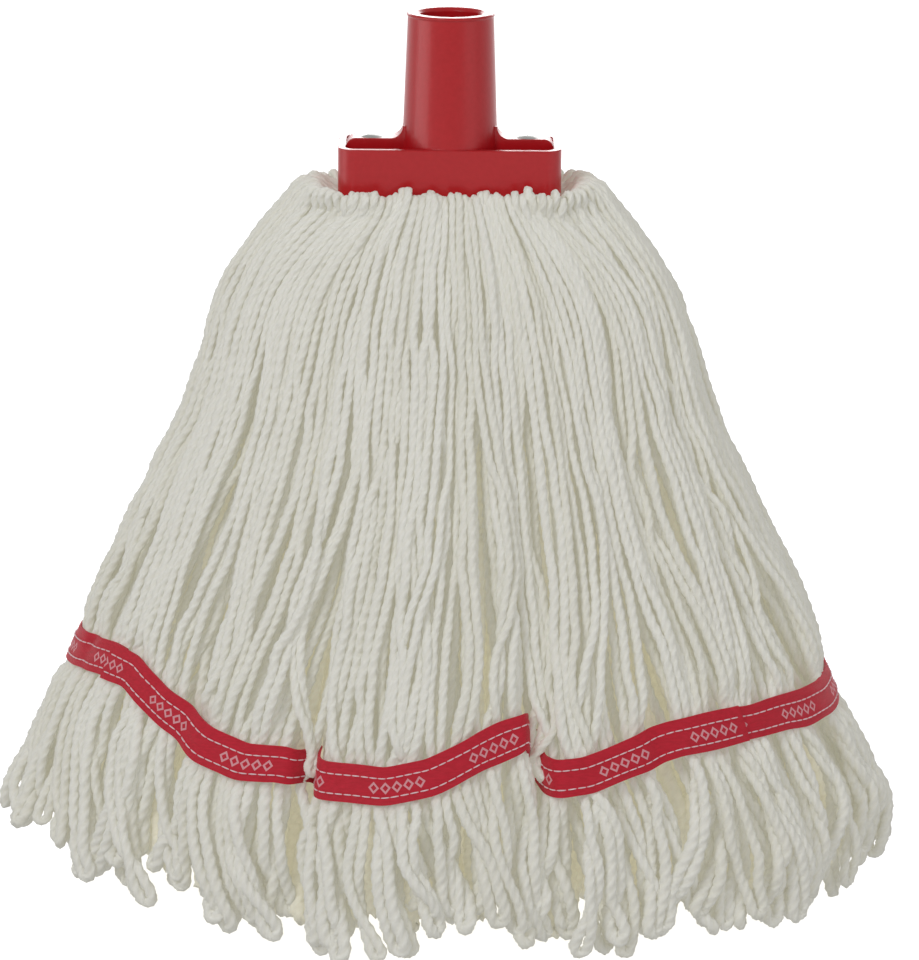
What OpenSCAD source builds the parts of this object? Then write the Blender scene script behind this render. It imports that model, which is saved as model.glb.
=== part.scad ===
// String mop head: a one-piece plastic handle socket and yarn tray, a riveted clamp plate that
// holds the folded middle of the yarn, and a looped yarn skirt with a sewn tail band.
// The origin is where the handle's end seats, at the bottom of the socket bore. +Z runs up the
// handle, X runs along the tray and -Y is the front.

/* [Handle socket] */
// Diameter of the bore that takes the handle
bore_d = 25.4; // [22:0.1:28]
// Depth of the bore, from the mouth to the handle's end stop
bore_depth = 61.5; // [56:0.5:62]
// Distance from the socket's mouth down to the tray's rim
rim_drop = 53; // [50:0.5:54]
// Outer diameter of the socket just below its mouth
socket_top_d = 34.6; // [32:0.2:38]
// Outer diameter of the socket where it meets the tray
socket_base_d = 38.6; // [38:0.2:42]

/* [Tray] */
// Length of the tray
tray_l = 90; // [86:1:100]
// Width of the tray, front to back
tray_w = 39; // [36:1:48]
// Height of the tray's outer wall
tray_h = 20; // [19:0.5:22]
// Radius of the tray's upright corners
tray_corner_r = 7; // [4:0.5:10]
// Thickness of the tray's walls
tray_wall = 3; // [2:0.25:3.5]
// Depth of the open pockets in the tray's top
pocket_depth = 9; // [6:0.5:10]

/* [Web and rivets] */
// Thickness of the web that runs along the tray and carries the rivets
web_t = 12; // [11:0.5:14]
// Height of the web above the tray's rim
web_rise = 2.5; // [2:0.25:6]
// Distance between the two rivets
rivet_spacing = 63; // [58:1:65]
// Diameter of a rivet's shank
rivet_d = 5; // [4:0.25:6]
// Diameter of a rivet's domed head
rivet_head_d = 11; // [8:0.25:11]
// Thickness of the clamp plate under the yarn
plate_t = 1.5; // [1:0.25:2]

/* [Yarn skirt] */
// Number of locks of yarn round the outside of the skirt
outer_locks = 22; // [14:2:22]
// Number of locks of yarn in each of the two inner rows
inner_locks = 5; // [1:2:5]
// Height from the end of the handle down to the ends of the loops
skirt_drop = 303; // [300:1:306]

/* [Tail band] */
// Width of the woven tape
tape_w = 15; // [12:0.5:20]
// Thickness of the woven tape
tape_t = 0.9; // [0.6:0.1:1.5]
// Shift of the whole tape down the skirt
tape_shift = 0; // [-8:1:8]
// Thickness of the sewing thread
thread_d = 0.8; // [0.6:0.1:1]

/* [Hidden] */
$fn = 96;

socket_lip_h = 1.4;      // height of the slightly wider lip at the socket's mouth
socket_lip_r = 0.35;     // how far the lip stands out
lead_in = 1.2;           // chamfer that guides the handle into the bore
rim_z = bore_depth - rim_drop;
tray_bottom_z = rim_z - tray_h;
pocket_floor_z = rim_z - pocket_depth;
floor_t = 3;             // floor between the pockets and the yarn cavity
ceiling_z = pocket_floor_z - floor_t;
web_l = tray_l - 2 * tray_wall;
web_top_z = rim_z + web_rise;
web_end_r = 4;           // rounding at the web's two upper ends
web_fillet_r = 5;        // sweep from the web up into the socket
rivet_clear = 0.1;       // radial clearance of a rivet in its hole
rivet_head_h = 1.3;       // height of the dome above the web
rivet_tail_d = 8.5;
rivet_tail_h = 1.6;
plate_l = 78;
plate_w = 23;
plate_top_z = tray_bottom_z - 1.8;
plate_bottom_z = plate_top_z - plate_t;
gap = 0.3;               // space left between the yarn and the hard pieces
eps = 0.01;

// The skirt swings about this axis, which runs along X through the clamped yarn.
swing_z = -16;
swing_r = 34;            // the yarn inside this radius stays with the head
swing_half_l = 36;       // half the straight length of that yarn, before its round ends
swing_gap = 0.4;

// Outline of the skirt by height: half width in X and half depth in Y.
half_width = [[-303, 168], [-271, 178], [-227, 163], [-184, 146], [-141, 125],
              [-98, 107], [-57, 95], [-40, 88], [-24, 77], [-14, 66]];
half_depth = [[-303, 112], [-256, 107], [-200, 93], [-150, 78], [-100, 63],
              [-57, 51], [-30, 41], [-14, 32]];
// Radius of a lock of yarn by height.
outer_lock_r = [[-303, 14.8], [-271, 15.3], [-227, 14.2], [-184, 12.6], [-141, 10.8], [-98, 9], [-57, 7.3]];
inner_lock_r = [[-303, 18.4], [-200, 13.6], [-110, 8.4], [-52, 5]];
inner_pitch = [[-303, 39.5], [-200, 29.5], [-110, 19], [-60, 13]];
inner_offset = [[-303, 34], [-200, 25], [-110, 15.5], [-60, 11]];
outer_heights = [-60, -85, -110, -150, -190, -230, -265];
inner_heights = [-52, -80, -130, -190, -240];
hem_z = -skirt_drop;
lock_sides = 12;
// Height of the tape's middle by turn angle: 0 is the right side, 90 the back, 270 the front.
tape_z = [[-60, -217], [-30, -212], [0, -211], [30, -214], [60, -222], [90, -226], [120, -224],
          [150, -212], [180, -201], [212, -198], [228, -208], [240, -222], [249, -229],
          [262, -231], [270, -222], [279, -213], [284, -229], [295, -223], [318, -216]];
tape_low_turn = -60;     // turn angles run from here
tape_clear = 1.2;        // space between the tape and the outer locks
tape_step = 4.5;         // turn angle of one stretch of tape
front_tape_turns = [206.5, 325.5];
back_tape_turns = [-34, 206];
start_lean = 62;         // a lock leaves the yarn root at this angle from straight down
start_lock_r = 5.4;
start_r = (swing_r + swing_gap) * sin(start_lean);

// Rectangle with round corners, made of straight and round pieces.
module round_rect(l, w, r) {
    square([l - 2 * r, w], center = true);
    square([l, w - 2 * r], center = true);
    for (sx = [-1, 1], sy = [-1, 1])
        translate([sx * (l / 2 - r), sy * (w / 2 - r)]) circle(r);
}

module upright(z0, z1) {
    translate([0, 0, z0]) linear_extrude(z1 - z0) children();
}

// ---- handle socket and tray, one moulding ----

module socket_tube() {
    top_r = socket_top_d / 2;
    lip_z = bore_depth - socket_lip_h;
    rotate_extrude()
        polygon([[0, ceiling_z], [socket_base_d / 2, ceiling_z], [socket_base_d / 2, rim_z],
                 [top_r, lip_z], [top_r + socket_lip_r, lip_z + 0.3],
                 [top_r + socket_lip_r, bore_depth - 0.4], [top_r, bore_depth], [0, bore_depth]]);
}

module web() {
    rotate([90, 0, 0]) linear_extrude(web_t, center = true) {
        translate([-web_l / 2, ceiling_z]) square([web_l, web_top_z - web_end_r - ceiling_z]);
        translate([-web_l / 2 + web_end_r, ceiling_z])
            square([web_l - 2 * web_end_r, web_top_z - ceiling_z]);
        for (s = [-1, 1])
            translate([s * (web_l / 2 - web_end_r), web_top_z - web_end_r]) circle(web_end_r);
    }
}

// Concave sweep from the top of the web into the side of the socket.
module web_sweep() {
    start_x = socket_base_d / 2 - 1.5;
    rotate([90, 0, 0]) linear_extrude(web_t, center = true)
        for (s = [0, 1]) mirror([s, 0])
            difference() {
                translate([start_x, web_top_z - 1]) square([web_fillet_r + 1.2, web_fillet_r + 1]);
                translate([start_x + web_fillet_r + 1.2, web_top_z + web_fillet_r])
                    circle(web_fillet_r);
            }
}

module tray_shell() {
    difference() {
        upright(tray_bottom_z, rim_z) round_rect(tray_l, tray_w, tray_corner_r);
        upright(pocket_floor_z, rim_z + eps)
            round_rect(tray_l - 2 * tray_wall, tray_w - 2 * tray_wall, tray_corner_r - tray_wall);
        upright(tray_bottom_z - eps, ceiling_z)
            round_rect(tray_l - 2 * tray_wall, tray_w - 2 * tray_wall, tray_corner_r - tray_wall);
    }
}

module socket_head() color("firebrick")
    difference() {
        union() {
            tray_shell();
            socket_tube();
            web();
            web_sweep();
        }
        cylinder(d = bore_d, h = bore_depth + 1);
        translate([0, 0, bore_depth - lead_in])
            cylinder(d1 = bore_d, d2 = bore_d + 2 * lead_in + 0.2, h = lead_in + 0.1);
        for (s = [-1, 1])
            translate([s * rivet_spacing / 2, 0, ceiling_z - 1])
                cylinder(d = rivet_d + 2 * rivet_clear, h = web_top_z - ceiling_z + 2);
    }

// ---- fasteners under and over the web ----

module domed_head(d, h) {
    ball_r = (d * d / 4 + h * h) / (2 * h);
    intersection() {
        translate([0, 0, h - ball_r]) sphere(ball_r);
        cylinder(d = d + 2, h = h + 1);
    }
}

module rivet(side) color("silver")
    translate([side * rivet_spacing / 2, 0, 0]) {
        translate([0, 0, web_top_z]) domed_head(rivet_head_d, rivet_head_h);
        translate([0, 0, plate_bottom_z - eps])
            cylinder(d = rivet_d, h = web_top_z - plate_bottom_z + 2 * eps);
        translate([0, 0, plate_bottom_z - rivet_tail_h]) cylinder(d = rivet_tail_d, h = rivet_tail_h);
    }

module clamp_plate() color("lightsteelblue")
    difference() {
        upright(plate_bottom_z, plate_top_z) round_rect(plate_l, plate_w, 4);
        for (s = [-1, 1])
            translate([s * rivet_spacing / 2, 0, plate_bottom_z - 1])
                cylinder(d = rivet_d + 2 * rivet_clear, h = plate_t + 2);
    }

// ---- yarn ----

// Body of revolution about the swing axis: a cylinder along X with two ball ends.
module swing_form(r) {
    translate([0, 0, swing_z]) {
        rotate([0, 90, 0]) cylinder(r = r, h = 2 * swing_half_l, center = true);
        for (s = [-1, 1]) translate([s * swing_half_l, 0, 0]) sphere(r);
    }
}

// The folded middle of the yarn: packed into the tray's cavity, clamped by the plate, and
// bulging out round the tray's lower edge before it falls as the skirt.
module yarn_root() color("linen")
    difference() {
        union() {
            intersection() {
                swing_form(swing_r - swing_gap);
                translate([-100, -50, -60]) cube([200, 100, 54]);
            }
            upright(tray_bottom_z - 1, ceiling_z - gap)
                round_rect(tray_l - 2 * tray_wall - 2 * gap, tray_w - 2 * tray_wall - 2 * gap,
                           tray_corner_r - tray_wall);
        }
        difference() {
            upright(tray_bottom_z - gap, 0)
                round_rect(tray_l + 2 * gap, tray_w + 2 * gap, tray_corner_r + gap);
            upright(tray_bottom_z - 2, 1)
                round_rect(tray_l - 2 * tray_wall - 2 * gap, tray_w - 2 * tray_wall - 2 * gap,
                           tray_corner_r - tray_wall);
        }
        translate([-plate_l / 2 - gap, -plate_w / 2 - gap, -70])
            cube([plate_l + 2 * gap, plate_w + 2 * gap, 70 + plate_top_z + gap]);
        for (s = [-1, 1])
            translate([s * rivet_spacing / 2, 0, -20]) cylinder(d = rivet_d + 2 * gap, h = 30);
    }

// A closed tube with a ring at each point: across is the direction of each ring's first side.
function unit(v) = v / norm(v);
function direction(points, i, first) =
    i == 0 ? first : unit(points[min(i + 1, len(points) - 1)] - points[i - 1]);
function ring(centre, along, across, r) =
    let (e1 = unit(across - (across * along) * along), e2 = cross(along, e1))
    [for (k = [0 : lock_sides - 1])
        centre + r * (cos(360 * k / lock_sides) * e1 + sin(360 * k / lock_sides) * e2)];

module lock(points, radii, first, across) {
    n = lock_sides;
    last = len(points) - 1;
    rings = [for (i = [0 : last]) each ring(points[i], direction(points, i, first), across, radii[i])];
    walls = [for (i = [0 : last - 1], k = [0 : n - 1])
        [n * i + k, n * (i + 1) + k, n * (i + 1) + (k + 1) % n, n * i + (k + 1) % n]];
    ends = [[for (k = [0 : n - 1]) k], [for (k = [n - 1 : -1 : 0]) n * last + k]];
    polyhedron(rings, concat(walls, ends));
}

// The lower end of a lock: the last centres and radii, which round it off at the skirt's hem.
function hem_points(p, r) = [[p[0], p[1], hem_z + r], [p[0], p[1], hem_z + 0.35 * r], [p[0], p[1], hem_z]];
function hem_radii(r) = [r, 0.8 * r, 0.35 * r];

// Point at a turn angle round the skirt, as far in from the outline as the lock's radius.
function spread_angle(a) = a + 8.2 * sin(2 * a);
function ring_point(a, z, inset) =
    [(lookup(z, half_width) - inset) * cos(spread_angle(a)),
     (lookup(z, half_depth) - inset) * sin(spread_angle(a)), z];

// Where a lock leaves the yarn root: [x of the nearest point of the swing axis, heading].
// The starts are evenly spaced round the root's long oval.
function lock_start(a) =
    let (bend = PI / 2 * start_r, run = 2 * swing_half_l, s = a / 360 * (4 * bend + 2 * run))
    s < bend ? [swing_half_l, 90 * s / bend]
    : s < bend + run ? [swing_half_l - (s - bend), 90]
    : s < 3 * bend + run ? [-swing_half_l, 90 * (s - run) / bend]
    : s < 3 * bend + 2 * run ? [s - 3 * bend - run - swing_half_l, 270]
    : [swing_half_l, 90 * (s - 2 * run) / bend];

module outer_lock(i) {
    angle = 360 * (i - 0.5) / outer_locks;
    start = lock_start(angle);
    out = [sin(start_lean) * cos(start[1]), sin(start_lean) * sin(start[1]), -cos(start_lean)];
    top = [start[0], 0, swing_z] + (swing_r + swing_gap) * out;
    middle = [for (z = outer_heights) ring_point(angle, z, lookup(z, outer_lock_r))];
    end_r = lookup(hem_z, outer_lock_r);
    color(i % 2 ? "ivory" : "beige")
        lock(concat([top], middle, hem_points(ring_point(angle, hem_z, end_r), end_r)),
             concat([start_lock_r], [for (z = outer_heights) lookup(z, outer_lock_r)], hem_radii(end_r)),
             out, [-sin(spread_angle(angle)), cos(spread_angle(angle)), 0]);
}

module inner_lock(i, side) {
    step = i - (inner_locks + 1) / 2;
    centres = [for (z = inner_heights) [step * lookup(z, inner_pitch), side * lookup(z, inner_offset), z]];
    foot = [step * lookup(hem_z, inner_pitch), side * lookup(hem_z, inner_offset), hem_z];
    end_r = lookup(hem_z, inner_lock_r);
    color(i % 2 ? "cornsilk" : "oldlace")
        lock(concat(centres, hem_points(foot, end_r)),
             concat([for (z = inner_heights) lookup(z, inner_lock_r)], hem_radii(end_r)),
             [0, 0, -1], [1, 0, 0]);
}

// ---- tail band ----

// Each half is a bar that follows the skirt's outline between two turn angles.
function band_z(t) = lookup(t > 360 + tape_low_turn ? t - 360 : t, tape_z) - tape_shift;
function band_point(a, out, up) =
    ring_point(a, band_z(spread_angle(a)) + up, -tape_clear - out);

module band_bar(from, to, out0, out1, low, high) {
    steps = ceil((to - from) / tape_step);
    section = [[out0, low], [out1, low], [out1, high], [out0, high]];
    points = [for (i = [0 : steps], s = section)
        band_point(from + (to - from) * i / steps, s[0], s[1])];
    walls = [for (i = [0 : steps - 1], k = [0 : 3])
        [4 * i + k, 4 * i + (k + 1) % 4, 4 * (i + 1) + (k + 1) % 4, 4 * (i + 1) + k]];
    ends = [[3, 2, 1, 0], [for (k = [0 : 3]) 4 * steps + k]];
    polyhedron(points, concat(walls, ends));
}

module tail_band(turns) color("crimson")
    band_bar(turns[0], turns[1], 0, tape_t, -tape_w / 2, tape_w / 2);

module band_stitching(turns) color("mistyrose")
    for (row = [-1, 1])
        band_bar(turns[0], turns[1], tape_t + 0.05, tape_t + 0.05 + thread_d,
                 row * tape_w / 5 - thread_d / 2, row * tape_w / 5 + thread_d / 2);

// ---- what is drawn ----

socket_head();
rivet(-1);  // rivet_left
rivet(1);  // rivet_right
clamp_plate();
yarn_root();
for (i = [1 : outer_locks])
    outer_lock(i);
for (i = [1 : inner_locks])
    inner_lock(i, -1);
for (i = [1 : inner_locks])
    inner_lock(i, 1);
tail_band(front_tape_turns);  // tail_band_front
tail_band(back_tape_turns);  // tail_band_back
band_stitching(front_tape_turns);  // band_stitching_front
band_stitching(back_tape_turns);  // band_stitching_back
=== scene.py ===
import math

import bpy
import numpy as np
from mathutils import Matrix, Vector


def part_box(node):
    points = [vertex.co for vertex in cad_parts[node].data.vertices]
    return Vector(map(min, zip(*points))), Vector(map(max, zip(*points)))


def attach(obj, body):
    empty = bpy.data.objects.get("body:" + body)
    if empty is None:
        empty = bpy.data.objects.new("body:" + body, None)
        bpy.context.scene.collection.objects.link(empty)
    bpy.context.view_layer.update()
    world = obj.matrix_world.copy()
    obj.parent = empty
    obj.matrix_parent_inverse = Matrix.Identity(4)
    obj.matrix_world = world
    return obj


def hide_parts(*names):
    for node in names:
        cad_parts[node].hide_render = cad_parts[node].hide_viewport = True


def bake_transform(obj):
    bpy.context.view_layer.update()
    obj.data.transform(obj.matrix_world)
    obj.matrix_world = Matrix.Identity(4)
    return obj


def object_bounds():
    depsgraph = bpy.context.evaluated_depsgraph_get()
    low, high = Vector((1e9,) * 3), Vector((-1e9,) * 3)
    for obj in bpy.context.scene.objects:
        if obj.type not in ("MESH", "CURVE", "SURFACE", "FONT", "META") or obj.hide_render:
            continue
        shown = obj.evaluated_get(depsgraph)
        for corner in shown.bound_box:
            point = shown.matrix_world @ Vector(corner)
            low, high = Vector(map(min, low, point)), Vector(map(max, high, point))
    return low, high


# String mop head: looped plied yarn, a sewn woven tape and a moulded plastic head, built around
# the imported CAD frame. Lengths are in metres, and turn angles in degrees.

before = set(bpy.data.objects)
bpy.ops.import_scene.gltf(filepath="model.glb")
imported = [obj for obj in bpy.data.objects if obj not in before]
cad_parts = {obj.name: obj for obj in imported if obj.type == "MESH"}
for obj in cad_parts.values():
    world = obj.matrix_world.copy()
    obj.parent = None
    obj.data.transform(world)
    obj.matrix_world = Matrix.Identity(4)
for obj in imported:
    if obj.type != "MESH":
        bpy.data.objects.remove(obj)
cad_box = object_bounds()
rng = np.random.default_rng(11)

MM = 0.001

# ---------------------------------------------------------------- driving sizes

_, TRAY_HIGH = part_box("socket_head")
TRAY_HALF_L = TRAY_HIGH.x
TRAY_HALF_W = TRAY_HIGH.y
TRAY_CORNER = 7 * MM
HEM_Z = cad_box[0].z

OUTER_LOCKS = sum(name.startswith("outer_lock_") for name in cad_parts)
INNER_LOCKS = sum(name.startswith("inner_front_lock_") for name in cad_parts)

# Radius of a strand by height: packed tight under the tray, fluffed up towards the hem.
YARN_Z = np.array([-285, -210, -120, -30]) * MM
YARN_R = np.array([2.6, 2.05, 1.92, 1.62]) * MM
LOOP_HALF = 1.12 * YARN_R[0]     # from the middle of a closed loop to the middle of its strand
YARN_PLIES = 3
PLY_PITCH = 15 * MM          # length in which the plies turn once round the strand
RING_STEP = 1.45 * MM        # distance between two rings of a strand's mesh
RING_SIDES = 12

TAPE_W = 15 * MM
TAPE_T = 0.9 * MM

# Outline of the skirt by height, as in the CAD source: half width in X, half depth in Y.
OUTLINE_Z = np.array([-303, -271, -227, -184, -141, -98, -57, -40, -30, -24, -14]) * MM
HALF_WIDTH = np.array([168, 178, 163, 145, 124, 107, 96.5, 92, 85.5, 80.5, 67]) * MM
HALF_DEPTH = np.array([112, 109, 100, 88, 75, 62.5, 51, 45, 41, 38, 32]) * MM
LOCK_R_Z = np.array([-303, -227, -141, -57, -20]) * MM
LOCK_R = np.array([15, 14.4, 10.9, 7.6, 5.0]) * MM

# Height of the tape's middle by turn angle: 0 the right side, 90 the back, 270 the front.
TAPE_TURN = np.array([0, 20, 40, 60, 90, 120, 150, 170, 185, 200, 207, 214, 223, 229, 234, 241, 247,
                      250.5, 262, 268, 275, 282, 284.6, 290, 297, 305, 318, 330, 345, 360])
TAPE_Z = np.array([-216, -216, -218, -221, -226, -224, -212, -205, -201.5, -199.5, -198.5, -200, -209,
                   -215, -221, -226, -226, -230, -230, -226, -217, -211, -230, -229, -223.5, -218,
                   -216, -216, -217, -216]) * MM

# Folds where neighbouring bundles part: turn angle, depth of the yarn's fold and of the tape's
# fold in mm, half breadth in degrees.
FOLDS = [(250.2, 8, 16, 2.2), (283.6, 8, 17, 2.0), (229, 5, 1, 3.5), (302, 4, 2, 3.5),
         (62, 8, 12, 3.0), (101, 8, 11, 3.0), (138, 6, 7, 3.5), (30, 5, 5, 3.5)]
# Bundles that stand out in front of their neighbours: turn angle, depth in mm, half breadth.
SWELLS = [(266, 7, 11), (238, 2, 8), (80, 5, 12), (118, 4, 10), (0, 1.5, 30), (180, 1, 30)]
# Valleys between the tufts at the hem: turn angle, depth in mm, half breadth in degrees. Where the
# depth is negative the hem flares out.
HEM_VALLEYS = [(231, 7, 2.6), (271, 9, 2.2), (313, 7, 2.4), (205, 6, 2.4), (293, 5, 1.8), (183, -8, 13),
               (335, 7, 2.6), (1, -8, 13), (20, 7, 3), (50, 8, 3), (85, 8, 3), (118, 8, 3),
               (155, 7, 3)]
# Shallower valleys between the bundles above the tape, in the same terms.
UPPER_VALLEYS = [(221, 4, 2.0), (241, 3, 1.8), (256, 4, 1.7), (271, 5, 1.6), (287, 4, 1.8),
                 (297, 3, 1.5), (311, 5, 2.0), (332, 4, 2.2), (20, 4, 2.5), (48, 4, 2.2), (73, 4, 1.8),
                 (90, 5, 1.7), (112, 4, 1.8), (128, 4, 2.0), (155, 4, 2.4), (196, 4, 2.4)]
# Height of the lowest loops by turn angle.
HEM_TURN = np.array([0, 45, 90, 135, 180, 190, 205, 222, 231, 240, 254, 262, 271, 280, 291, 302,
                     313, 326, 340, 352, 360])
HEM_Z_AT = np.array([-291, -292, -297, -292, -280, -274, -281, -289, -281, -297, -303, -299, -289,
                     -295, -301, -301, -298, -302, -299, -296, -291]) * MM
# Strands that hang over the tape or stand off the skirt: turn angle, end height and stand-off in
# mm, and whether they pass in front of the tape.
LOOSE_ENDS = [(246.2, -228, 2.2, True), (1.0, -289, 3.5, False), (286.4, -226, 1.0, True),
              (222.0, -262, 1.5, False), (311.0, -268, 1.5, False)]

# Turn angles from which and to which each tape runs. The two overlap at both seams.
FRONT_TURNS = (206.5, 318.6)
BACK_TURNS = (-45.5, 210.5)


# ---------------------------------------------------------------- camera, light and floor

def look_at(obj, target):
    direction = Vector(target) - obj.location
    obj.rotation_euler = direction.to_track_quat("-Z", "Y").to_euler()


def make_camera():
    """The camera stands 1.8 m away, straight in front, looks slightly down and is a little rolled."""
    data = bpy.data.cameras.new("camera")
    data.lens = 168.75
    data.sensor_width = 36
    camera = bpy.data.objects.new("camera", data)
    bpy.context.scene.collection.objects.link(camera)
    camera.location = (0, -1.8, 0.323)
    look_at(camera, (0.0051, 0, -0.1325))
    camera.rotation_euler.rotate_axis("Z", math.radians(0.5))
    data.clip_start, data.clip_end = 0.1, 20
    bpy.context.scene.camera = camera


def area_light(name, location, target, size, power, glossy_only=False):
    data = bpy.data.lights.new(name, "AREA")
    data.shape = "RECTANGLE"
    data.size, data.size_y = size
    data.energy = power
    light = bpy.data.objects.new(name, data)
    light.location = location
    light.visible_diffuse = not glossy_only
    bpy.context.scene.collection.objects.link(light)
    look_at(light, target)


def make_studio():
    world = bpy.data.worlds.new("studio")
    bpy.context.scene.world = world
    world.use_nodes = True
    background = world.node_tree.nodes["Background"]
    background.inputs["Color"].default_value = (1.0, 1.0, 1.0, 1)
    background.inputs["Strength"].default_value = 0.46
    middle = (0, 0, -0.12)
    area_light("key", (-1.0, -1.5, 1.2), middle, (0.6, 1.2), 14)
    area_light("fill", (1.5, -1.2, 0.5), middle, (1.2, 1.4), 4)
    area_light("back", (0.5, 1.7, 0.6), middle, (1.4, 1.4), 7)
    area_light("backdrop", (0, 2.4, 0.72), (0, 0, 0.03), (3.4, 0.85), 42, glossy_only=True)
    area_light("left_panel", (-1.7, -0.45, -0.2), (0, 0, 0.03), (1.3, 0.8), 9, glossy_only=True)
    bpy.context.scene.view_settings.view_transform = "Standard"
    bpy.ops.mesh.primitive_plane_add(size=30, location=(0, 0, HEM_Z - 5 * MM))
    floor = bpy.context.object
    floor.name = "floor"
    floor.visible_diffuse = False
    floor.data.materials.append(floor_material())


# ---------------------------------------------------------------- materials

def new_material(name):
    material = bpy.data.materials.new(name)
    material.use_nodes = True
    nodes = material.node_tree.nodes
    return material, nodes, material.node_tree.links, nodes["Principled BSDF"]


def ramp(nodes, links, source, stops):
    """A colour ramp driven by a socket; stops are (position, colour)."""
    node = nodes.new("ShaderNodeValToRGB")
    elements = node.color_ramp.elements
    while len(elements) < len(stops):
        elements.new(0.5)
    for element, (position, colour) in zip(elements, stops):
        element.position = position
        element.color = (*colour, 1)
    links.new(source, node.inputs["Fac"])
    return node.outputs["Color"]


def noise(nodes, links, scale, detail=3.0, vector=None):
    node = nodes.new("ShaderNodeTexNoise")
    node.inputs["Scale"].default_value = scale
    node.inputs["Detail"].default_value = detail
    if vector is not None:
        links.new(vector, node.inputs["Vector"])
    return node.outputs["Fac"]


def math_node(nodes, links, operation, *values):
    node = nodes.new("ShaderNodeMath")
    node.operation = operation
    for value, socket in zip(values, node.inputs):
        if isinstance(value, (int, float)):
            socket.default_value = value
        else:
            links.new(value, socket)
    return node.outputs[0]


def mix_colour(nodes, links, factor, a, b, blend="MIX"):
    node = nodes.new("ShaderNodeMix")
    node.data_type = "RGBA"
    node.blend_type = blend
    for value, socket in ((factor, node.inputs["Factor"]), (a, node.inputs["A"]), (b, node.inputs["B"])):
        if isinstance(value, (int, float)):
            socket.default_value = value
        elif isinstance(value, tuple):
            socket.default_value = (*value, 1)
        else:
            links.new(value, socket)
    return node.outputs["Result"]


def bump(nodes, links, height, strength, distance):
    node = nodes.new("ShaderNodeBump")
    node.inputs["Strength"].default_value = strength
    node.inputs["Distance"].default_value = distance
    links.new(height, node.inputs["Height"])
    return node.outputs["Normal"]


def attribute(nodes, name):
    node = nodes.new("ShaderNodeAttribute")
    node.attribute_name = name
    return node.outputs["Vector"]


def floor_material():
    material, nodes, links, shader = new_material("pale_floor")
    grain = noise(nodes, links, 6.0)
    links.new(ramp(nodes, links, grain, [(0.3, (0.86, 0.86, 0.86)), (0.7, (0.9, 0.9, 0.9))]),
              shader.inputs["Base Color"])
    shader.inputs["Roughness"].default_value = 0.8
    shader.inputs["Emission Color"].default_value = (1, 1, 1, 1)
    shader.inputs["Emission Strength"].default_value = 0.72
    return material


def yarn_material(name, light, dark, glow):
    """Soft spun yarn. The attribute "yarn" holds the distance along the strand in millimetres, how
    far up the crest of a ply a point is, and a number of its own for each strand."""
    material, nodes, links, shader = new_material(name)
    split = nodes.new("ShaderNodeSeparateXYZ")
    links.new(attribute(nodes, "yarn"), split.inputs[0])
    along, crest, own = split.outputs

    # Fibres run nearly along the plies, so their pattern is long along the strand.
    fibre = nodes.new("ShaderNodeCombineXYZ")
    links.new(math_node(nodes, links, "MULTIPLY", along, 0.35), fibre.inputs[0])
    links.new(math_node(nodes, links, "MULTIPLY", crest, 3.5), fibre.inputs[1])
    links.new(math_node(nodes, links, "MULTIPLY", own, 57.0), fibre.inputs[2])
    fibres = noise(nodes, links, 2.2, 4.0, fibre.outputs[0])
    slub = noise(nodes, links, 28.0, 2.0)
    hairs = noise(nodes, links, 1900.0, 3.0)

    tint = mix_colour(nodes, links, slub, dark, light)
    shade = ramp(nodes, links, fibres, [(0.3, (0.92, 0.915, 0.90)), (0.6, (1, 1, 1))])
    # Painted shade: the grooves between the plies are darkened and warmed a little in the colour.
    furrow_shade = ramp(nodes, links, crest, [(0.0, (0.95, 0.945, 0.92)), (0.5, (1, 1, 1))])
    per_strand = ramp(nodes, links, own, [(0.0, (0.955, 0.95, 0.925)), (0.6, (1, 1, 1))])
    colour = mix_colour(nodes, links, 1.0, tint, shade, "MULTIPLY")
    colour = mix_colour(nodes, links, 1.0, colour, furrow_shade, "MULTIPLY")
    colour = mix_colour(nodes, links, 1.0, colour, per_strand, "MULTIPLY")
    links.new(colour, shader.inputs["Base Color"])
    height = math_node(nodes, links, "ADD", fibres, math_node(nodes, links, "MULTIPLY", hairs, 0.8))
    links.new(bump(nodes, links, height, 0.6, 0.45 * MM), shader.inputs["Normal"])
    shader.inputs["Roughness"].default_value = 0.95
    shader.inputs["Sheen Weight"].default_value = 0.3
    shader.inputs["Sheen Roughness"].default_value = 0.5
    shader.inputs["Specular IOR Level"].default_value = 0.15
    # Painted glow: an even yellowish emission stands in for light passed through the yarn and lifts and
    # warms its shaded gaps.
    shader.inputs["Emission Color"].default_value = (1.0, 0.96, 0.74, 1)
    shader.inputs["Emission Strength"].default_value = glow
    return material


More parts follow.
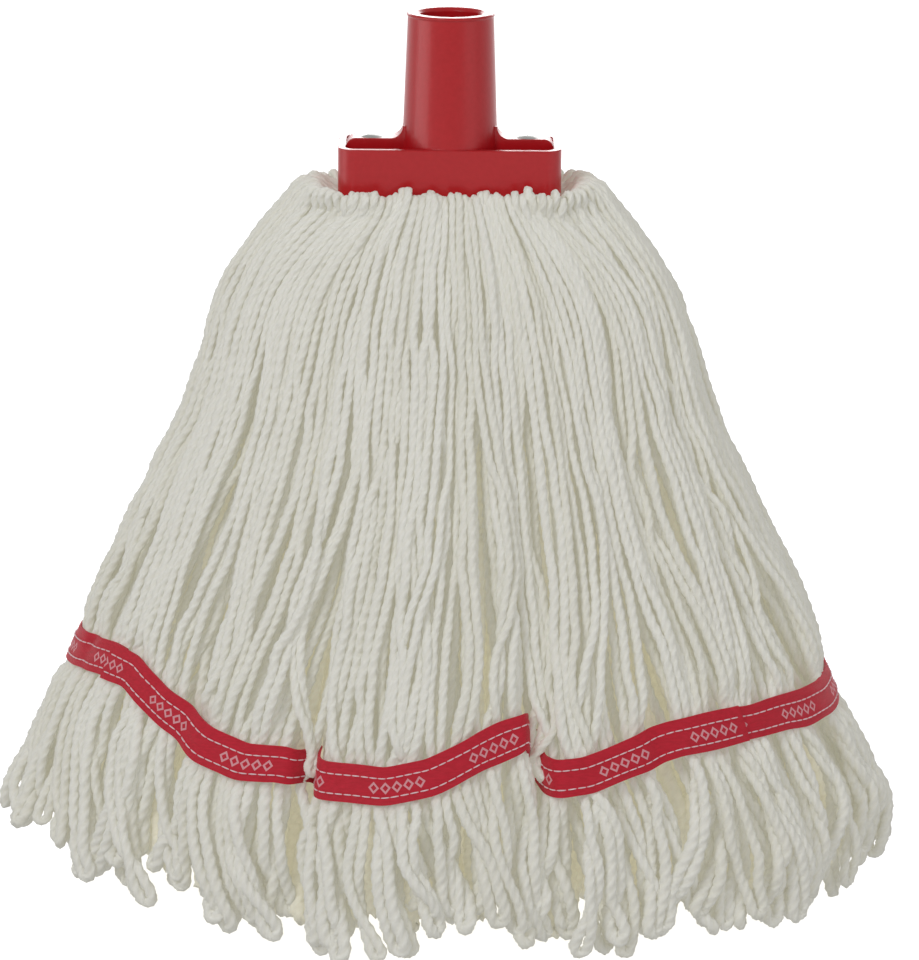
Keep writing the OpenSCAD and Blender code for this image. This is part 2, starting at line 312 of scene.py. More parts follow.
def tape_material():
    """Woven red tape with a generic row of small diamonds. The attribute "tape" holds the distance
    along it and across it from the middle, in millimetres."""
    material, nodes, links, shader = new_material("woven_tape")
    split = nodes.new("ShaderNodeSeparateXYZ")
    links.new(attribute(nodes, "tape"), split.inputs[0])
    along, across, _ = split.outputs

    def thread_wave(source, per_mm):
        turned = math_node(nodes, links, "MULTIPLY", source, 2 * math.pi * per_mm)
        return math_node(nodes, links, "SINE", turned)

    weft = thread_wave(along, 1.9)
    warp = thread_wave(across, 2.3)
    weave = math_node(nodes, links, "MULTIPLY", weft, warp)

    # Diamonds in groups of five, one to a cell, with a group every nine cells.
    cell = 4.6
    in_cell = math_node(nodes, links, "PINGPONG", along, cell / 2)
    off_middle = math_node(nodes, links, "ABSOLUTE", math_node(nodes, links, "ADD", across, 0.75))
    reach = math_node(nodes, links, "MULTIPLY", off_middle, 0.9)
    distance = math_node(nodes, links, "ADD", in_cell, reach)
    outer = math_node(nodes, links, "LESS_THAN", distance, 2.15)
    inner = math_node(nodes, links, "GREATER_THAN", distance, 1.15)
    ring = math_node(nodes, links, "MULTIPLY", outer, inner)
    group = math_node(nodes, links, "LESS_THAN",
                      math_node(nodes, links, "PINGPONG", along, 4.5 * cell), 2.5 * cell)
    motif = math_node(nodes, links, "MULTIPLY", ring, group)

    fade = noise(nodes, links, 60.0, 3.0)
    red = ramp(nodes, links, fade, [(0.3, (0.58, 0.008, 0.026)), (0.7, (0.70, 0.012, 0.038))])
    threads = ramp(nodes, links, math_node(nodes, links, "MULTIPLY_ADD", weave, 0.5, 0.5),
                   [(0.0, (0.8, 0.8, 0.8)), (1.0, (1, 1, 1))])
    cloth = mix_colour(nodes, links, 1.0, red, threads, "MULTIPLY")
    links.new(mix_colour(nodes, links, math_node(nodes, links, "MULTIPLY", motif, 0.85), cloth,
                         (0.80, 0.42, 0.46)), shader.inputs["Base Color"])
    links.new(bump(nodes, links, weave, 0.5, 0.18 * MM), shader.inputs["Normal"])
    shader.inputs["Roughness"].default_value = 0.62
    shader.inputs["Sheen Weight"].default_value = 0.08
    shader.inputs["Specular IOR Level"].default_value = 0.25
    return material


def thread_material():
    material, nodes, links, shader = new_material("sewing_thread")
    links.new(ramp(nodes, links, noise(nodes, links, 300.0),
                   [(0.3, (0.72, 0.46, 0.5)), (0.7, (0.9, 0.72, 0.74))]), shader.inputs["Base Color"])
    links.new(bump(nodes, links, noise(nodes, links, 4000.0), 0.4, 0.1 * MM), shader.inputs["Normal"])
    shader.inputs["Roughness"].default_value = 0.7
    return material


def plastic_material():
    """Glossy moulded polypropylene: slight mottling, fine scuffs and a soft orange-peel surface."""
    material, nodes, links, shader = new_material("red_plastic")
    mottle = noise(nodes, links, 35.0, 4.0)
    links.new(ramp(nodes, links, mottle, [(0.3, (0.45, 0.006, 0.010)), (0.7, (0.49, 0.008, 0.013))]),
              shader.inputs["Base Color"])
    scuffs = noise(nodes, links, 420.0, 6.0)
    roughness = math_node(nodes, links, "MULTIPLY_ADD", scuffs, 0.08, 0.26)
    links.new(roughness, shader.inputs["Roughness"])
    edge = nodes.new("ShaderNodeBevel")
    edge.samples = 6
    edge.inputs["Radius"].default_value = 0.9 * MM
    peel = bump(nodes, links, noise(nodes, links, 70.0, 1.0), 0.04, 1.0 * MM)
    links.new(edge.outputs["Normal"], peel.node.inputs["Normal"])
    links.new(peel, shader.inputs["Normal"])
    shader.inputs["Specular IOR Level"].default_value = 0.33
    shader.inputs["Coat Weight"].default_value = 0.05
    shader.inputs["Coat Roughness"].default_value = 0.12
    return material


def metal_material(name, colour, roughness):
    material, nodes, links, shader = new_material(name)
    wear = noise(nodes, links, 500.0, 6.0)
    dark = tuple(0.8 * c for c in colour)
    links.new(ramp(nodes, links, wear, [(0.35, dark), (0.65, colour)]), shader.inputs["Base Color"])
    worn = math_node(nodes, links, "MULTIPLY_ADD", wear, 0.25, roughness)
    links.new(worn, shader.inputs["Roughness"])
    shader.inputs["Metallic"].default_value = 1.0
    return material


# ---------------------------------------------------------------- mesh building

def mesh_object(name, points, quads, caps, material):
    """A smooth mesh object from arrays: quads is (n, 4), caps a list of closed vertex rings."""
    mesh = bpy.data.meshes.new(name)
    mesh.vertices.add(len(points))
    mesh.vertices.foreach_set("co", np.asarray(points, np.float32).ravel())
    corners = np.concatenate([np.asarray(quads).ravel(), *[np.asarray(c) for c in caps]])
    sizes = np.concatenate([np.full(len(quads), 4), [len(c) for c in caps]]).astype(np.int32)
    starts = np.concatenate([[0], np.cumsum(sizes)[:-1]]).astype(np.int32)
    mesh.loops.add(len(corners))
    mesh.loops.foreach_set("vertex_index", corners.astype(np.int32))
    mesh.polygons.add(len(sizes))
    mesh.polygons.foreach_set("loop_start", starts)
    mesh.polygons.foreach_set("use_smooth", np.ones(len(sizes), bool))
    mesh.update(calc_edges=True)
    mesh.materials.append(material)
    obj = bpy.data.objects.new(name, mesh)
    bpy.context.scene.collection.objects.link(obj)
    return obj


def tube_faces(n, count, sides):
    """Quads and end caps of n closed tubes, each of count rings with the given number of sides."""
    base = (np.arange(n)[:, None, None] * count + np.arange(count - 1)[None, :, None]) * sides
    k = np.arange(sides)[None, None]
    nxt = (k + 1) % sides
    quads = np.stack([base + k, base + nxt, base + sides + nxt, base + sides + k], -1).reshape(-1, 4)
    caps = []
    for i in range(n):
        start = i * count * sides
        caps.append(np.arange(start + sides - 1, start - 1, -1))
        caps.append(np.arange(start + (count - 1) * sides, start + count * sides))
    return quads, caps


def set_vectors(obj, name, values):
    layer = obj.data.attributes.new(name, "FLOAT_VECTOR", "POINT")
    layer.data.foreach_set("vector", np.asarray(values, np.float32).ravel())


def unit(v):
    return v / np.maximum(np.linalg.norm(v, axis=-1, keepdims=True), 1e-12)


def resample(lines, count):
    """Each line of an (n, k, 3) array at count points evenly spaced along its own length."""
    out = np.empty((len(lines), count, 3))
    for i, line in enumerate(lines):
        run = np.concatenate([[0], np.cumsum(np.linalg.norm(np.diff(line, axis=0), axis=1))])
        at = np.linspace(0, run[-1], count)
        for axis in range(3):
            out[i, :, axis] = np.interp(at, run, line[:, axis])
    return out


def soften(lines, rounds):
    """Smooths lines along their length, leaving the first and last points where they are."""
    for _ in range(rounds):
        lines[:, 1:-1] += 0.5 * (0.5 * (lines[:, :-2] + lines[:, 2:]) - lines[:, 1:-1])
    return lines


def carried_frames(lines):
    """Two unit vectors across each line, carried along it without twist."""
    along = unit(np.gradient(lines, axis=1))
    across = np.empty_like(lines)
    first = np.cross(along[:, 0], np.tile([0.3, 0.2, 0.93], (len(lines), 1)))
    across[:, 0] = unit(first)
    for k in range(1, lines.shape[1]):
        v = across[:, k - 1]
        v = v - (v * along[:, k]).sum(-1, keepdims=True) * along[:, k]
        across[:, k] = unit(v)
    return across, np.cross(along, across)


def strand_radius(z):
    return np.interp(z, YARN_Z, YARN_R)


def yarn_mesh(name, lines, material, sides=RING_SIDES, step=RING_STEP, size=1.0):
    """Plied strands along lines, one closed tube each, all in one object. The rings turn with the
    plies, so the grooves between the plies always fall on a row of vertices."""
    lengths = np.linalg.norm(np.diff(lines, axis=1), axis=2).sum(1)
    count = int(lengths.mean() / step)
    lines = soften(resample(lines, count), 4)
    n = len(lines)
    across, over = carried_frames(lines)
    run = np.linspace(0, 1, count)[None] * lengths[:, None]
    twist = 2 * math.pi * run / PLY_PITCH + rng.uniform(0, 2 * math.pi, (n, 1))
    twist += wander(n, count, 12, 0.35)
    side = 2 * math.pi * np.arange(sides) / sides
    angle = side[None, None] + twist[..., None]
    slub = rng.normal(1, 0.06, (n, 1)) + wander(n, count, 30, 0.06)
    crest = 0.5 + 0.5 * np.cos(YARN_PLIES * side)
    groove = 0.81 + 0.24 * crest
    radius = size * strand_radius(lines[..., 2]) * slub
    points = lines[:, :, None] + (radius[..., None] * groove)[..., None] * (
        np.cos(angle)[..., None] * across[:, :, None] + np.sin(angle)[..., None] * over[:, :, None])
    obj = mesh_object(name, points.reshape(-1, 3), *tube_faces(n, count, sides), material)
    shape = points.shape[:3]
    coords = np.stack([np.broadcast_to(run[..., None] / MM, shape),
                       np.broadcast_to(crest, shape),
                       np.broadcast_to(rng.random((n, 1, 1)), shape)], -1)
    set_vectors(obj, "yarn", coords.reshape(-1, 3))
    return obj


def wander(rows, columns, knots, amount):
    """Smooth random waves: one row each, about knots bends long."""
    values = rng.normal(0, amount, (rows, knots))
    at = np.linspace(0, knots - 1, columns)
    low = np.clip(at.astype(int), 0, knots - 2)
    t = smooth_step(at - low, 0, 1)
    return values[:, low] * (1 - t) + values[:, low + 1] * t


# ---------------------------------------------------------------- the skirt's form

def half_sizes(z):
    return (np.interp(z, OUTLINE_Z, HALF_WIDTH), np.interp(z, OUTLINE_Z, HALF_DEPTH))


def even_turn(a):
    """Turn angle whose steps are about even round the outline."""
    return a + 8.2 * np.sin(np.radians(2 * a))


def turn_gap(turn, centre):
    return (turn - centre + 180) % 360 - 180


def smooth_step(value, low, high):
    """0 up to low and 1 from high on, with a smooth rise between them."""
    t = np.clip((value - low) / (high - low), 0, 1)
    return t * t * (3 - 2 * t)


def tape_height(turn):
    return np.interp(np.mod(turn, 360), TAPE_TURN, TAPE_Z)


def swell_at(turn, z, tape=False):
    """How far the outline of the yarn, or of the tape, stands out of its plain oval."""
    swell = np.zeros_like(turn)
    for centre, yarn_depth, tape_depth, breadth in FOLDS:
        depth, width = (tape_depth, 0.62 * breadth) if tape else (yarn_depth, breadth)
        swell -= depth * MM * np.exp(-(turn_gap(turn, centre) / width) ** 2)
    for centre, depth, breadth in SWELLS:
        swell += depth * MM * np.exp(-(turn_gap(turn, centre) / breadth) ** 4)
    swell *= smooth_step(-z, 70 * MM, 190 * MM)
    below = smooth_step(-z, 235 * MM, 275 * MM)
    above = smooth_step(-z, 45 * MM, 95 * MM) * smooth_step(z, -212 * MM, -182 * MM)
    for valleys, share in ((HEM_VALLEYS, below), (UPPER_VALLEYS, above)):
        for centre, depth, breadth in valleys:
            swell = swell - share * depth * MM * np.exp(-(turn_gap(turn, centre) / breadth) ** 2)
    return swell


def tape_puff(turn, z):
    """The yarn stands out a little above and below the tape, which holds it in."""
    gap = (z - tape_height(turn)) / (11 * MM)
    share = np.clip((-z - 80 * MM) / (60 * MM), 0, 1)
    return 4.0 * MM * (1 - np.exp(-gap ** 4)) * share


def outline_point(turn, z, inset, tape=False):
    """Points on the outline at turn angles and heights, moved in by inset."""
    w, d = half_sizes(z)
    c, s = np.cos(np.radians(turn)), np.sin(np.radians(turn))
    out = swell_at(turn, z, tape) - inset
    return np.stack([(w + out) * c, (d + out) * s, z + 0 * turn], -1)


def tray_point(a, outset):
    """Point on the tray's outline at a share of its perimeter given as an angle, moved outwards."""
    straight_x = TRAY_HALF_L - TRAY_CORNER
    straight_y = TRAY_HALF_W - TRAY_CORNER
    r = TRAY_CORNER
    quarter = straight_y + math.pi / 2 * r + straight_x
    a = np.mod(a, 360)
    s = (90 - np.abs(a % 180 - 90)) / 90 * quarter
    phi = np.clip((s - straight_y) / r, 0, math.pi / 2)
    x = straight_x + (r + outset) * np.cos(phi) - np.clip(s - straight_y - math.pi / 2 * r, 0, None)
    y = np.minimum(s, straight_y) + (r + outset) * np.sin(phi)
    return np.stack([x * np.where((a > 90) & (a < 270), -1, 1), y * np.where(a > 180, -1, 1)], -1)


LEVELS = np.concatenate([[-20, -26, -33], np.arange(-41, -304, -4.2)]) * MM
TOP_POINTS = 5


def strand_lines(a, depth, hem, stray, rise):
    """Centre lines of hanging legs before they settle. a is each leg's place round the skirt as an
    angle for each level, depth its place inwards from 0 to 1, hem the height of its end, stray how
    far it stands off its neighbours and rise how far it bulges up beside the tray."""
    z = LEVELS[0] + (LEVELS - LEVELS[0]) * ((hem[:, None] - LEVELS[0]) / (LEVELS[-1] - LEVELS[0]))
    lock_r = np.interp(z, LOCK_R_Z, LOCK_R)
    share = np.clip((-z - 40 * MM) / (220 * MM), 0, 1)
    layer = lock_r * depth[:, None] * (2 - 1.1 * share)
    off = stray[:, None] * np.clip((-z - 50 * MM) / (60 * MM), 0, 1)
    body = outline_point(even_turn(a), z, strand_radius(z) + layer - off)

    # Over the tray's lower edge: out of the cavity, under the wall, up, over and down.
    side = np.abs(np.cos(np.radians(even_turn(a[:, 0])))) ** 3
    d = depth
    top = [
        (-8 - 4 * d, -6 - 2.5 * d),
        (-4.5 - 3 * d, -13.4 - 3.5 * d),
        (0.3 - 3 * d, -12.6 - 8 * d),
        (3.4 + 6 * side - 5.5 * d, -7.4 + 1.5 * side - 11 * d + rise),
        (6.8 + 8 * side - 6.5 * d, -10.2 + 2.5 * side - 11 * d + rise),
    ]
    top = [np.concatenate([tray_point(a[:, 0], out * MM), (up * MM)[:, None]], -1) for out, up in top]
    return np.concatenate([np.stack(top, 1), body], 1)


def wind_pairs(lines):
    """Near the hem the two legs of each loop wind round each other and curl this way and that."""
    pairs = len(lines) // 2
    body = lines[:, TOP_POINTS:]
    first, second = body[0::2], body[1::2]
    centre, half = (first + second) / 2, (second - first) / 2
    z = centre[..., 2]
    share = np.clip((-z - 205 * MM) / (85 * MM), 0, 1)
    turns = rng.choice([0.0, 0.5, 1.0, 1.5], pairs, p=[0.3, 0.3, 0.25, 0.15])
    turn = 2 * math.pi * turns[:, None] * share ** 1.3
    reach = np.linalg.norm(half[..., :2], axis=-1)
    near_end = np.clip((z[:, -1:] + 32 * MM - z) / (32 * MM), 0, 1)
    wound = np.maximum((turns[:, None] > 0) * np.clip(share * 1.6, 0, 1), near_end)
    scale = (reach * (1 - wound) + LOOP_HALF * wound) / np.maximum(reach, 1e-6)
    c, s = np.cos(turn) * scale, np.sin(turn) * scale
    moved = np.stack([c * half[..., 0] - s * half[..., 1], s * half[..., 0] + c * half[..., 1],
                      half[..., 2]], -1)
    curl = np.stack([wander(pairs, z.shape[1], 17, 4.8 * MM) for _ in range(2)], -1)
    centre[..., :2] += curl * (share ** 0.8)[..., None]
    body[0::2], body[1::2] = centre - moved, centre + moved


def keep_inside(body, room):
    """Pulls points that have left the skirt's outline back onto it."""
    w, d = half_sizes(body[..., 2])
    turn = np.degrees(np.arctan2(body[..., 1] / d, body[..., 0] / w)) % 360
    z = body[..., 2]
    reach = np.hypot(w * np.cos(np.radians(turn)), d * np.sin(np.radians(turn)))
    limit = 1 + (swell_at(turn, z) + tape_puff(turn, z) - strand_radius(z) + room) / reach
    rho = np.hypot(body[..., 0] / w, body[..., 1] / d)
    body[..., :2] *= np.where(rho > limit, limit / rho, 1)[..., None]


def clear_tape(body, over):
    """Keeps strands off the tape: behind it, or in front where they hang over it or fill a fold."""
    path, out = tape_route(0, 360, 1.4 * MM)
    w, d = half_sizes(body[..., 2])
    turn = np.degrees(np.arctan2(body[..., 1] / d, body[..., 0] / w)) % 360
    offset = body[..., 2] - tape_height(turn)
    leg, level = np.nonzero(np.abs(offset) < TAPE_W / 2 + 3 * MM)
    p = body[leg, level]
    gap = ((p[:, None, :2] - path[None, :, :2]) ** 2).sum(-1).argmin(1)
    lean = 0.2 + 0.17 * np.cos(np.radians(turn[leg, level])) ** 2
    distance = ((p[:, :2] - path[gap, :2]) * out[gap, :2]).sum(-1) + lean * offset[leg, level]
    in_fold = np.zeros(len(leg), bool)
    for centre, yarn_depth, tape_depth, breadth in FOLDS:
        if tape_depth > yarn_depth:
            in_fold |= np.abs(turn_gap(turn[leg, level], centre)) < 2 * breadth
    front = over[leg] | (in_fold & (distance > 0))
    clear = strand_radius(p[:, 2]) * 1.05 + TAPE_T / 2 + 0.4 * MM
    move = np.where(front, np.maximum(clear - distance, 0), np.minimum(-clear - distance, 0))
    move = np.clip(move, -2.5 * MM, 2.5 * MM)
    body[leg, level, :2] += out[gap, :2] * move[:, None]


def settle(lines, rounds, room, crowd, over):
    """Pushes legs that overlap apart, level by level, while each stays smooth along its length.
    crowd marks the legs that jostle; the others lie on top. over marks legs in front of the tape."""
    levels = lines.shape[1]
    crowd = np.nonzero(crowd)[0]
    lone = np.eye(len(crowd))
    spacing = 1.86 * strand_radius(lines[crowd][..., 2].mean(0))
    body = lines[:, TOP_POINTS:]
    for turn_number in range(rounds):
        push = np.zeros((len(crowd), levels, 2))
        spots = lines[crowd][..., :2]
        for k in range(2, levels):
            delta = spots[:, None, k] - spots[None, :, k]
            distance = np.sqrt((delta ** 2).sum(-1)) + lone + 1e-7
            share = np.clip(spacing[k] - distance, 0, None) / distance * 0.5
            push[:, k] = (delta * share[..., None]).sum(1)
        size = np.linalg.norm(push, axis=-1, keepdims=True)
        push *= np.minimum(1, 1.2 * MM / np.maximum(size, 1e-9))
        lines[crowd, :, :2] += 0.55 * push
        outward = 0.14 * MM * np.clip((-body[..., 2] - 60 * MM) / (80 * MM), 0, 1)
        body[crowd, :, :2] += (unit(body[..., :2]) * outward[..., None])[crowd]
        keep_inside(body, room)
        clear_tape(body, over)
        if turn_number < rounds - 2:
            soften(lines[:, TOP_POINTS - 1:], 1)


def join_loops(lines):
    """Legs 2i and 2i+1 draw together at the hem and become one strand with a rounded loop."""
    loops = []
    share = np.clip((np.arange(lines.shape[1]) - lines.shape[1] + 9) / 6, 0, 1)
    for first, second in zip(lines[0::2], lines[1::2]):
        centre, gap = (first + second) / 2, (second - first) / 2
        reach = np.maximum(np.linalg.norm(gap, axis=1), 1e-6)
        gap *= (1 - share * np.clip(1 - LOOP_HALF / reach, 0, 1))[:, None]
        first, second = centre - gap, centre + gap
        a, b = first[-1], second[-1]
        middle = (a + b) / 2
        half = (b - a) / 2
        half[2] = 0
        width = np.linalg.norm(half)
        side = half / max(width, 1e-6)
        down = unit((first[-1] - first[-4]) + (second[-1] - second[-4]))
        down = unit(down - (down @ side) * side)
        r = max(width, 2.6 * MM)
        bend = [middle + r * (-math.cos(t) * side + math.sin(t) * 1.25 * down)
                for t in np.linspace(0.12, math.pi - 0.12, 7)]
        loops.append(np.concatenate([first[:-1], bend, second[:-1][::-1]]))
    return np.array(loops)


# ---------------------------------------------------------------- locks of yarn

ROWS = ((8, 0.0, 0.0), (6, 0.45, 0.5), (6, 0.9, 0.25))   # legs, depth, shift of each row


def hem_height(a):
    """Height of the lowest loops at a place round the skirt."""
    return np.interp(even_turn(a) % 360, HEM_TURN, HEM_Z_AT)


def outer_legs():
    """Places of every leg of the outer locks: angle by level, depth, hem, stray and rise."""
    levels = len(LEVELS)
    width = 360 / OUTER_LOCKS
    share = np.linspace(0, 1, levels)
    angles, depths, hems, strays, rises = [], [], [], [], []
    for i in range(OUTER_LOCKS):
        centre = width * (i + 0.5) + wander(1, levels, 4, 0.17 * width)[0] * share
        spread = 1 - 0.14 * np.abs(wander(1, levels, 5, 1.0)[0]) * np.minimum(1, 2 * share)
        for legs, depth, shift in ROWS:
            place = (np.arange(legs) + 0.5) / legs - 0.5 + shift / legs
            pair_drift = np.repeat(wander(legs // 2, levels, 6, 0.12), 2, axis=0)
            own_drift = wander(legs, levels, 9, 0.075)
            drift = (pair_drift + own_drift) * share ** 0.6
            loose = (rng.random(legs // 2) < (0.3 if depth == 0 else 0)).astype(float).repeat(2)
            loose_drift = np.repeat(wander(legs // 2, levels, 4, 0.42), 2, axis=0) * share
            p = place[:, None] * spread[None] + drift + loose[:, None] * loose_drift
            angles.append(centre[None] + width * p)
            depths.append(np.clip(depth + rng.normal(0, 0.05, legs), 0, 1))
            lowest = hem_height(centre[-1]) + 1 * MM
            hems.append(lowest + np.repeat(rng.uniform(0, 10 + 6 * depth, legs // 2) * MM, 2))
            strays.append(loose * 1.6 * MM)
            rises.append(rng.normal(0, 0.9, legs) - 1.5 * (np.arange(legs) % 2))
    return [np.concatenate(values) for values in (angles, depths, hems, strays, rises)]


def pick_loose_ends(angles, depths, hems, strays):
    """Gives a few pairs in the front row ends of their own; returns masks of the crowd and of
    those that hang over the tape."""
    crowd, over = np.ones(len(hems), bool), np.zeros(len(hems), bool)
    at_tape = even_turn(angles[:, int(0.7 * len(LEVELS))])
    for turn, end, off, over_tape in LOOSE_ENDS:
        gap = np.abs(turn_gap(at_tape, turn)) + 90 * (depths > 0.2)
        first = int(gap.argmin()) // 2 * 2
        pair = slice(first, first + 2)
        hems[pair] = end * MM
        strays[pair] = off * MM
        crowd[pair] = False
        angles[first + 1] = angles[first] + (1.6 if off > 3 else 1.1)
        over[pair] = over_tape
    return crowd, over


def inner_legs():
    """Straight legs inside the skirt: some fill its middle, some stand behind the outer locks."""
    lines = []
    core, fan = 10, 30
    knots = np.array([-303, -200, -110, -55]) * MM
    pitch = np.interp(LEVELS, knots, np.array([39.5, 29.5, 19, 13]) * MM)
    offset = np.interp(LEVELS, knots, np.array([34, 25, 15.5, 10]) * MM)
    radius = np.interp(LEVELS, knots, np.array([15, 11, 7, 4]) * MM)
    share = smooth_step(-LEVELS, 35 * MM, 110 * MM)
    for side in (-1, 1):
        for i in range(INNER_LOCKS):
            step = i - (INNER_LOCKS - 1) / 2
            for leg in range(core + fan):
                place = 180 / INNER_LOCKS * ((leg - core + rng.uniform(0.2, 0.8)) / fan + i)
                a = 180 - side * place
                if leg % 2 == 0:
                    lowest = hem_height(a) if leg >= core else HEM_Z
                    hem = lowest + rng.uniform(6, 15) * MM
                z = LEVELS[0] + (LEVELS - LEVELS[0]) * (hem - LEVELS[0]) / (LEVELS[-1] - LEVELS[0])
                turn = 2 * math.pi * (leg + rng.uniform(-0.2, 0.2)) / core
                reach = 0.85 if leg % 2 else 0.55
                x = step * pitch + reach * radius * math.cos(turn)
                y = side * offset + reach * radius * math.sin(turn)
                if leg >= core:
                    a = a + wander(1, len(LEVELS), 5, 1.5)[0]
                    inset = np.interp(z, knots, np.array([17, 17, 15, 13]) * MM)
                    inset = inset * (1.75 if leg % 4 > 1 else 1) + rng.normal(0, 1.5) * MM
                    wall = outline_point(even_turn(a), z, inset)
                    x = x * (1 - share) + wall[:, 0] * share
                    y = y * (1 - share) + wall[:, 1] * share
                body = np.stack([x, y, z], -1)
                top_x = step * 15 * MM + 3 * MM * math.cos(turn)
                top_y = side * (13.5 * MM + 1.5 * MM * math.sin(turn))
                heights = np.array([-6, -9, -12, -14.5, -17]) * MM
                top = np.stack([np.full(5, top_x), np.full(5, top_y), heights], -1)
                lines.append(np.concatenate([top, body]))
    return np.array(lines), core + fan


def make_yarn(material, inner_material):
    """Every lock of yarn, each lock as an object of its own."""
    angles, depths, hems, strays, rises = outer_legs()
    crowd, over = pick_loose_ends(angles, depths, hems, strays)
    outer = strand_lines(angles, depths, hems, strays, rises)
    inner, per_inner = inner_legs()
    lines = np.concatenate([outer, inner])
    wind_pairs(lines)
    extra = len(inner)
    room = np.concatenate([strays, np.zeros(extra)])[:, None]
    crowd = np.concatenate([crowd, np.zeros(extra, bool)])
    over = np.concatenate([over, np.zeros(extra, bool)])
    settle(lines, 30, room, crowd, over)
    kinks = [wander(len(lines), lines.shape[1] - TOP_POINTS - 3, 26, 0.5 * MM) for _ in range(3)]
    lines[:, TOP_POINTS + 3:] += np.stack(kinks, -1)
    clear_tape(lines[:, TOP_POINTS:], over)
    per_outer = sum(legs for legs, _, _ in ROWS)
    pieces = []
    for i in range(OUTER_LOCKS):
        legs = lines[i * per_outer:(i + 1) * per_outer]
        piece = yarn_mesh(f"yarn_outer_{i + 1}", join_loops(legs), material)
        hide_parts(f"outer_lock_{i + 1}")
        pieces.append(piece)
    names = [f"inner_{side}_lock_{i + 1}" for side in ("front", "back") for i in range(INNER_LOCKS)]
    for i, node in enumerate(names):
        start = len(outer) + i * per_inner
        piece = yarn_mesh(f"yarn_{node}", join_loops(lines[start:start + per_inner]), inner_material,
                          sides=9, step=2.6 * MM, size=1.4)
        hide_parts(node)
        pieces.append(piece)
    for piece in pieces:
        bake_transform(piece)
    return pieces


def make_folded_middle(material):
    """The strands' folded middles, which lie front to back between the tray and the clamp plate."""
    lines = []
    for layer, height in enumerate((-5.6, -8.8, -12.0)):
        for x in np.arange(-39 + 1.2 * (layer % 2), 40, 3.5):
            if min(abs(x - 31.5), abs(x + 31.5)) < 4.6:
                continue
            y = np.linspace(-1, 1, 15)
            lines.append(np.stack([x + 0.5 * np.sin(2 * y + x), y * 15, height - 2.5 * y ** 4], -1) * MM)
    piece = yarn_mesh("yarn_folded_middle", np.array(lines), material, sides=9, step=1.6 * MM,
                      size=0.9)
    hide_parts("yarn_root")
    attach(piece, "head")


# ---------------------------------------------------------------- tail band

def tape_route(low_turn, high_turn, lift):
    """Middle line of a stretch of tape and the direction out of the skirt at each point."""
    turn = np.arange(low_turn, high_turn, 0.3)
    line = outline_point(turn, tape_height(turn), -lift, tape=True)
    ahead = np.gradient(line, axis=0)
    out = unit(np.stack([ahead[:, 1], -ahead[:, 0], np.zeros(len(ahead))], -1))
    return line, out


def tape_strip(name, low_turn, high_turn, lift, material):
    """A tape with thickness that lies on the yarn, ripples slightly and bows out across its width."""
    turn = np.arange(low_turn, high_turn, 0.1)
    middle = tape_height(turn)
    line = outline_point(turn, middle, -lift, tape=True)
    above = outline_point(turn, middle + 4 * MM, -lift, tape=True)
    length = np.linalg.norm(np.diff(line, axis=0), axis=1).sum()
    count = int(length / (0.8 * MM))
    line, above = (soften(resample(v[None], count), 8)[0] for v in (line, above))
    ahead = unit(np.gradient(line, axis=0))
    out = unit(np.cross(ahead, above - line))
    # The tape's width stays square to its general run, and upright where it turns into a fold.
    window = np.hanning(45) / np.hanning(45).sum()
    tilt = np.convolve(np.pad(ahead[:, 2], 22, "edge"), window, "valid")[:, None]
    level = unit(ahead * [1, 1, 0])
    up = unit(unit(above - line) - tilt * level)
    run = np.concatenate([[0], np.cumsum(np.linalg.norm(np.diff(line, axis=0), axis=1))])
    across = np.linspace(-1, 1, 11) * TAPE_W / 2
    ripple = wander(11, len(line), max(4, int(run[-1] / (9 * MM))), 0.28 * MM).T
    ripple = 0.5 * ripple + 0.5 * ripple.mean(1, keepdims=True)
    wave = wander(2, len(line), max(4, int(run[-1] / (14 * MM))), 0.35 * MM).T
    edge = np.linspace(0, 1, 11)[None]
    slide = wave[:, :1] * (1 - edge) + wave[:, 1:] * edge
    crown = (1 - (across / (TAPE_W / 2)) ** 2)[None] * 0.4 * MM
    sheet = (line[:, None] + up[:, None] * (across[None] + slide)[..., None]
             + out[:, None] * (ripple + crown)[..., None])
    front = sheet + out[:, None] * TAPE_T / 2
    back = sheet - out[:, None] * TAPE_T / 2
    ring = np.concatenate([back, front[:, ::-1]], 1)
    count, sides = ring.shape[:2]
    obj = mesh_object(name, ring.reshape(-1, 3), *tube_faces(1, count, sides), material)
    span = np.concatenate([across, across[::-1]]) / MM
    coords = np.stack([np.broadcast_to(run[:, None] / MM, (count, sides)),
                       np.broadcast_to(span, (count, sides)), np.zeros((count, sides))], -1)
    set_vectors(obj, "tape", coords.reshape(-1, 3))
    obj.data.set_sharp_from_angle(angle=math.radians(50))
    return obj, sheet, out, run


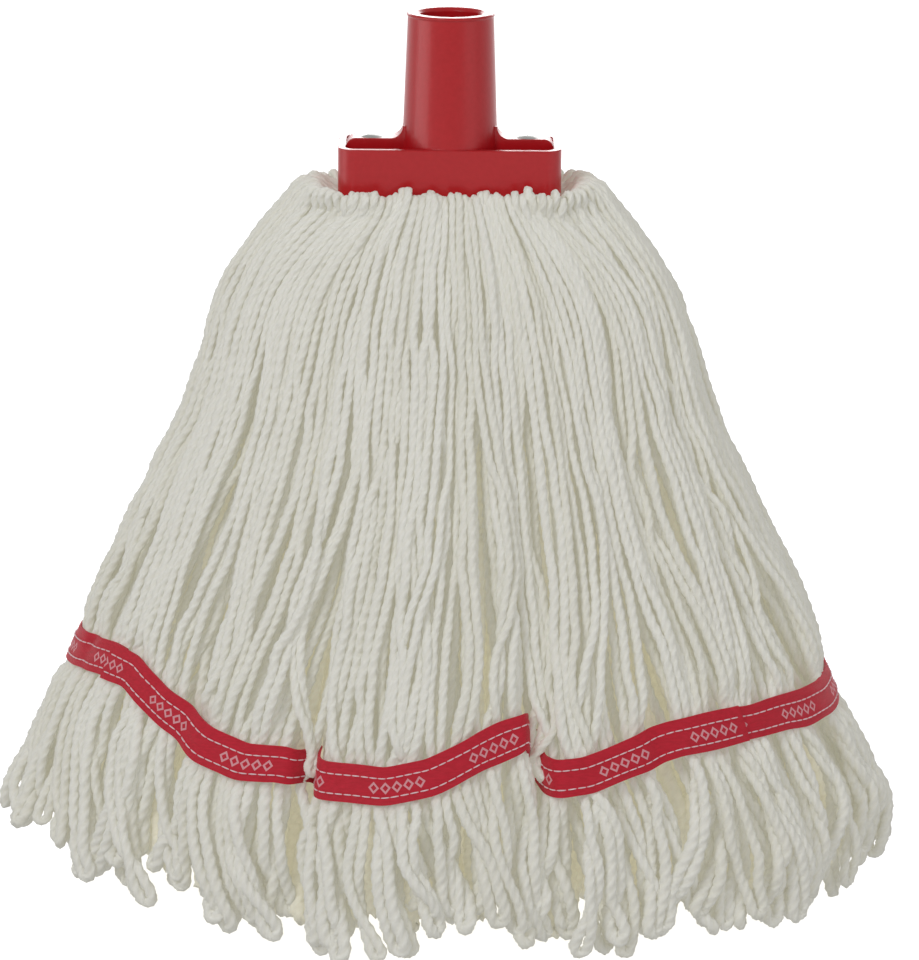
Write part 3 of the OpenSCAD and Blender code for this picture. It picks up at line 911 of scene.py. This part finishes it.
def stitch_row(name, sheet, out, run, column, material):
    """A row of separate stitches along one line of the tape: short arched lengths of thread."""
    stitch, space, r = 3.1 * MM, 0.55 * MM, 0.3 * MM
    line = sheet[:, column] + out * TAPE_T / 2
    lines = []
    start = 1.5 * MM
    while start + stitch < run[-1] - 1 * MM:
        at = np.linspace(start, start + stitch, 9)
        points = np.stack([np.interp(at, run, line[:, k]) for k in range(3)], -1)
        away = unit(np.stack([np.interp(at, run, out[:, k]) for k in range(3)], -1))
        arch = np.sin(np.linspace(0, math.pi, 9)) ** 0.6
        lines.append(points + away * (arch * 0.34 * MM - 0.12 * MM)[:, None])
        start += stitch + space + rng.uniform(-0.2, 0.2) * MM
    return tube_mesh(name, np.array(lines), r, 6, material)


def tube_mesh(name, lines, r, sides, material):
    n, count = lines.shape[:2]
    across, over = carried_frames(lines)
    angle = 2 * math.pi * np.arange(sides) / sides
    taper = np.sin(np.linspace(0.25, math.pi - 0.25, count)) ** 0.35
    points = lines[:, :, None] + r * taper[None, :, None, None] * (
        np.cos(angle)[None, None, :, None] * across[:, :, None]
        + np.sin(angle)[None, None, :, None] * over[:, :, None])
    return mesh_object(name, points.reshape(-1, 3), *tube_faces(n, count, sides), material)


def make_tail_band(material, thread):
    for side, turns, lift in (("back", BACK_TURNS, 0.9 * MM), ("front", FRONT_TURNS, 2.0 * MM)):
        tape, sheet, out, run = tape_strip(f"tape_{side}", *turns, lift, material)
        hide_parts(f"tail_band_{side}")
        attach(tape, "skirt")
        rows = [stitch_row(f"stitches_{side}_{name}", sheet, out, run, column, thread)
                for name, column in (("lower", 2), ("upper", 7))]
        for row in rows:
            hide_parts(f"band_stitching_{side}")
            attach(row, "skirt")


# ---------------------------------------------------------------- assembly

def dress_cad(node, material):
    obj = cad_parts[node]
    obj.data.materials.clear()
    obj.data.materials.append(material)


make_camera()
make_studio()
dress_cad("socket_head", plastic_material())
steel = metal_material("rivet_steel", (0.62, 0.62, 0.6), 0.18)
dress_cad("rivet_left", steel)
dress_cad("rivet_right", steel)
dress_cad("clamp_plate", metal_material("zinc_plate", (0.55, 0.56, 0.58), 0.35))
yarn = yarn_material("yarn", (0.89, 0.89, 0.87), (0.84, 0.835, 0.80), 0.14)
# Painted shade: the inner yarn, deep in the skirt and under the tray, is yellower and darker and glows
# more.
inner_yarn = yarn_material("inner_yarn", (0.88, 0.865, 0.78), (0.84, 0.80, 0.68), 0.18)
make_yarn(yarn, inner_yarn)
make_folded_middle(inner_yarn)
make_tail_band(tape_material(), thread_material())
